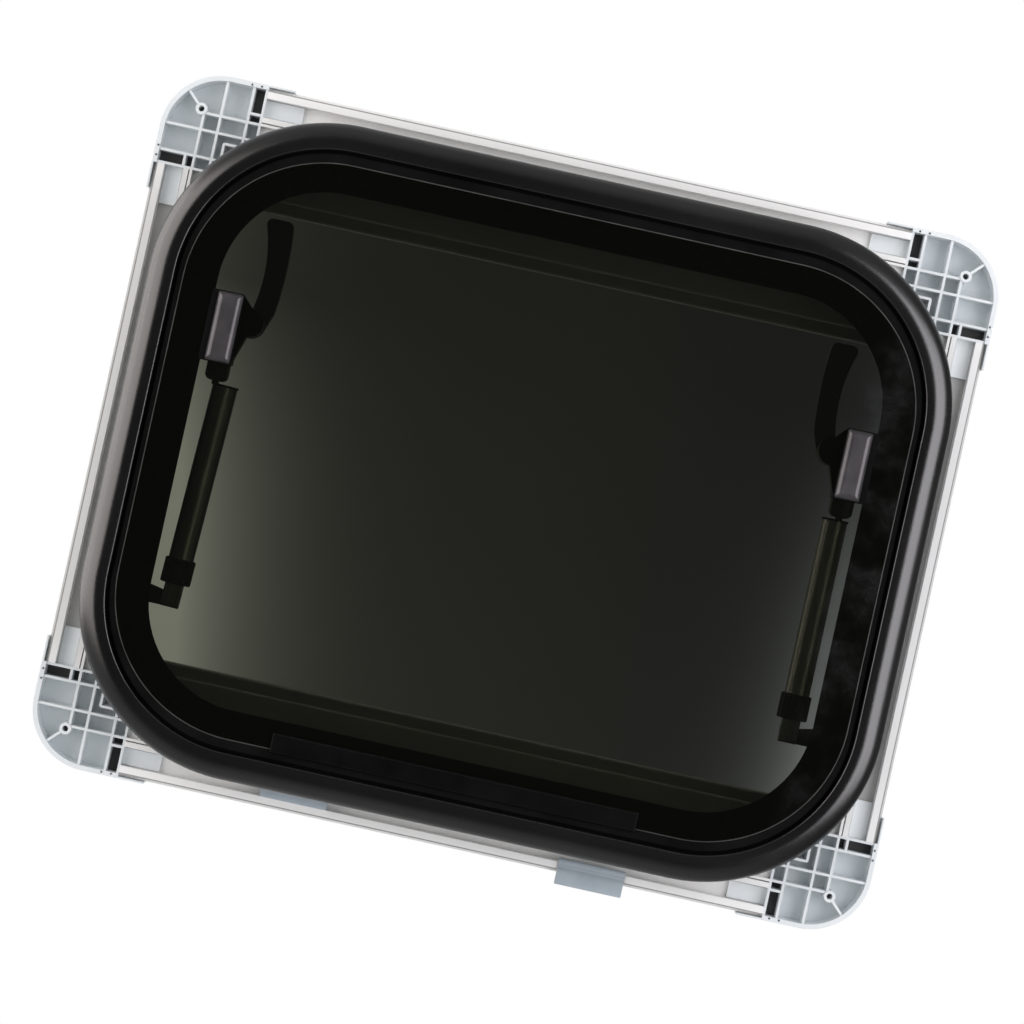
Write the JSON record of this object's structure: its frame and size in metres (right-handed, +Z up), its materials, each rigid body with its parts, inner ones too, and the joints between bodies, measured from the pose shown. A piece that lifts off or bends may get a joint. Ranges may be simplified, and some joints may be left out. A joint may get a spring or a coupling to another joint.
{
  "type": "caravan window",
  "caption": "Top-hung caravan window with a rounded black frame, tinted pane, telescopic stays, turning latches and a white inner blind frame.",
  "frame": {"origin": "centre of the opening, in the plane of the lip's back face that lies on the wall's outer skin", "axes": "+X to the right seen from outside, +Y into the room, +Z up towards the hinge"},
  "size_m": [0.58, 0.0673, 0.486],
  "materials": {
    "black_frame": "satin black powder coat",
    "rubber": "matt black rubber",
    "tinted_glass": "polished grey-green tinted safety glass",
    "black_print": "black ceramic print",
    "steel": "brushed",
    "grey_metal": "satin anodised grey",
    "black_plastic": "moulded black",
    "stay_tube": "satin drawn aluminium tube",
    "stay_rod": "satin drawn aluminium rod",
    "corner_plastic": "moulded white with a blue cast",
    "white_rail": "extruded white",
    "dark_plastic": "extruded dark grey",
    "clip_plastic": "moulded pale blue-grey"
  },
  "bodies": {
    "frame": {"outer_frame": "black_frame", "wall_sleeve": "black_frame", "edge_gasket": "rubber", "pane_seal": "rubber", "glass_pane": "tinted_glass", "frit_border": "black_print", "hinge_bar": "black_frame", "hinge_sash_leaf": "black_frame", "hinge_frame_leaf": "black_frame", "hinge_pin": "steel", "left_latch_cover": "grey_metal", "left_latch_gasket": "rubber", "left_latch_body": "black_plastic", "left_latch_pin": "steel", "left_stay_knob": "black_plastic", "left_stay_tube": "stay_tube", "left_stay_collar": "black_plastic", "left_stay_rod": "stay_rod", "left_stay_lug": "black_plastic", "top_left_corner": "corner_plastic", "bottom_left_corner": "corner_plastic", "left_rail": "white_rail", "right_latch_cover": "grey_metal", "right_latch_gasket": "rubber", "right_latch_body": "black_plastic", "right_latch_pin": "steel", "right_stay_knob": "black_plastic", "right_stay_tube": "stay_tube", "right_stay_collar": "black_plastic", "right_stay_rod": "stay_rod", "right_stay_lug": "black_plastic", "top_right_corner": "corner_plastic", "bottom_right_corner": "corner_plastic", "right_rail": "white_rail", "rail_keys": "dark_plastic", "top_rail": "white_rail", "bottom_rail": "white_rail", "screen_cassette": "white_rail", "screen_bar": "white_rail", "blind_cassette": "white_rail", "blind_bar": "white_rail", "left_clip": "clip_plastic", "right_clip": "clip_plastic"},
    "left_handle": {"left_latch_handle": "black_plastic"},
    "right_handle": {"right_latch_handle": "black_plastic"}
  },
  "joints": [
    {"name": "left_handle_turn", "type": "hinge", "parent": "frame", "child": "left_handle", "pos_m": [-0.1985, 0.01, -0.0785], "axis": [0, -1, 0], "range_deg": [0, 90]},
    {"name": "right_handle_turn", "type": "hinge", "parent": "frame", "child": "right_handle", "pos_m": [0.1985, 0.01, -0.0785], "axis": [0, 1, 0], "range_deg": [0, 90]}
  ]
}
